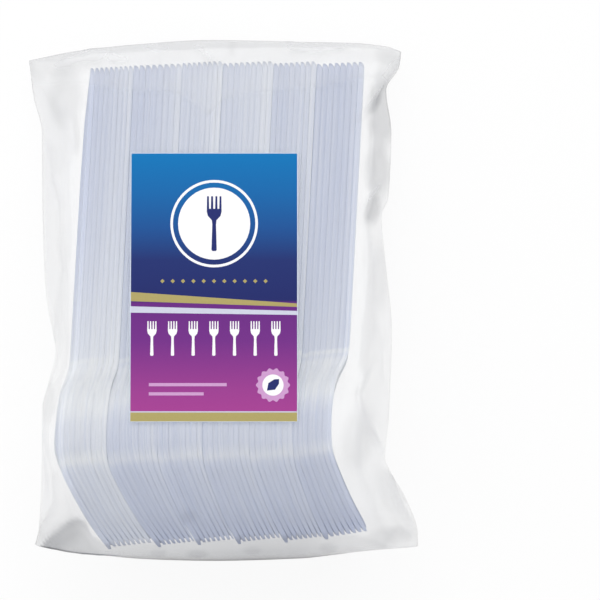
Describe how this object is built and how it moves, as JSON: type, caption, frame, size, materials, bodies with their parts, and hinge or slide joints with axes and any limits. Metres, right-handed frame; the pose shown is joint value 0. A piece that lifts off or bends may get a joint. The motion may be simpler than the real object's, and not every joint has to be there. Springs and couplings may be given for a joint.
{
  "type": "plastic cutlery pack",
  "caption": "Clear film bag packed with nested plastic forks that stand on edge in two layers, with a printed label on the front film.",
  "frame": {"origin": "centre of the bounding box in X and Y, on the flat back film that the pack lies on", "axes": "+Z out of the pack's front, +Y towards its top edge where the handles end, +X to the right as seen from the front"},
  "size_m": [0.1366, 0.1824, 0.0586],
  "materials": {
    "clear_film": "clear gloss",
    "label_print": "printed, satin",
    "fork_plastic": "satin"
  },
  "bodies": {
    "root": {"film_bag": "clear_film", "front_label": "label_print", "fork_01": "fork_plastic", "fork_02": "fork_plastic", "fork_03": "fork_plastic", "fork_04": "fork_plastic", "fork_05": "fork_plastic", "fork_06": "fork_plastic", "fork_07": "fork_plastic", "fork_08": "fork_plastic", "fork_09": "fork_plastic", "fork_10": "fork_plastic", "fork_11": "fork_plastic", "fork_12": "fork_plastic", "fork_13": "fork_plastic", "fork_14": "fork_plastic", "fork_15": "fork_plastic", "fork_16": "fork_plastic", "fork_17": "fork_plastic", "fork_18": "fork_plastic", "fork_19": "fork_plastic", "fork_20": "fork_plastic", "fork_21": "fork_plastic", "fork_22": "fork_plastic", "fork_23": "fork_plastic", "fork_24": "fork_plastic", "fork_25": "fork_plastic", "fork_26": "fork_plastic", "fork_27": "fork_plastic", "fork_28": "fork_plastic", "fork_29": "fork_plastic", "fork_30": "fork_plastic", "fork_31": "fork_plastic", "fork_32": "fork_plastic", "fork_33": "fork_plastic", "fork_34": "fork_plastic", "fork_35": "fork_plastic", "fork_36": "fork_plastic", "fork_37": "fork_plastic", "fork_38": "fork_plastic", "fork_39": "fork_plastic", "fork_40": "fork_plastic", "fork_41": "fork_plastic", "fork_42": "fork_plastic", "fork_43": "fork_plastic", "fork_44": "fork_plastic", "fork_45": "fork_plastic", "fork_46": "fork_plastic", "fork_47": "fork_plastic", "fork_48": "fork_plastic", "fork_49": "fork_plastic", "fork_50": "fork_plastic", "fork_bunch_back_1": "fork_plastic", "fork_bunch_back_2": "fork_plastic", "fork_bunch_back_3": "fork_plastic", "fork_bunch_back_4": "fork_plastic", "fork_bunch_back_5": "fork_plastic", "fork_bunch_back_6": "fork_plastic"}
  },
  "joints": []
}
